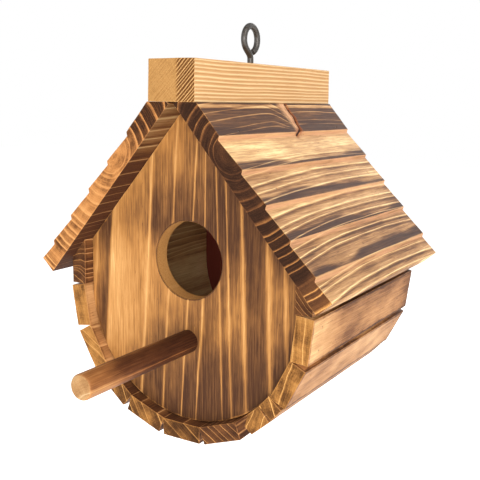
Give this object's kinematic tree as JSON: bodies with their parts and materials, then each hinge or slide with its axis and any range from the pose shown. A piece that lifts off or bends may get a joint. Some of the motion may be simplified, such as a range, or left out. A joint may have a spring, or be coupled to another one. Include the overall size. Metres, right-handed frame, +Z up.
{
  "type": "hanging birdhouse",
  "caption": "Hanging wooden birdhouse with a stepped gable roof, round entrance, dowel perch, a rounded body of straight staves, and an eye screw in the ridge block.",
  "frame": {"origin": "centre of the hanging eye's ring, above the middle of the ridge", "axes": "+X to the right as the entrance is faced, +Y towards the back, +Z up"},
  "size_m": [0.1744, 0.2114, 0.2159],
  "materials": {
    "panel_wood": "scorched pine, vertical grain, satin, with worn pale edges",
    "roof_wood": "scorched pine, grain along the ridge, satin, darker along each course's lower edge",
    "stave_wood": "scorched pine, grain front to back, satin, with worn pale edges",
    "ridge_wood": "clear-finished pale pine, satin",
    "perch_wood": "stained hardwood dowel, satin",
    "eye_steel": "darkened steel wire, semi-gloss",
    "pin_steel": "bright steel wire nails and pins"
  },
  "bodies": {
    "house": {"front_panel": "panel_wood", "back_panel": "panel_wood", "left_roof_board": "roof_wood", "right_roof_board": "roof_wood", "ridge_block": "ridge_wood", "perch": "perch_wood", "left_stave_1": "stave_wood", "left_stave_2": "stave_wood", "left_stave_3": "stave_wood", "left_stave_4": "stave_wood", "left_stave_5": "stave_wood", "bottom_stave": "stave_wood", "right_stave_1": "stave_wood", "right_stave_2": "stave_wood", "right_stave_3": "stave_wood", "right_stave_4": "stave_wood", "right_stave_5": "stave_wood", "right_stave_6": "stave_wood", "front_pins": "pin_steel", "back_pins": "pin_steel", "roof_pins": "pin_steel", "ridge_nails": "pin_steel"},
    "eye": {"eye_screw": "eye_steel"}
  },
  "joints": [
    {"name": "eye_turn", "type": "hinge", "parent": "house", "child": "eye", "pos_m": [0, 0, 0], "axis": [0, 0, 1], "range_deg": [-90, 90]}
  ]
}
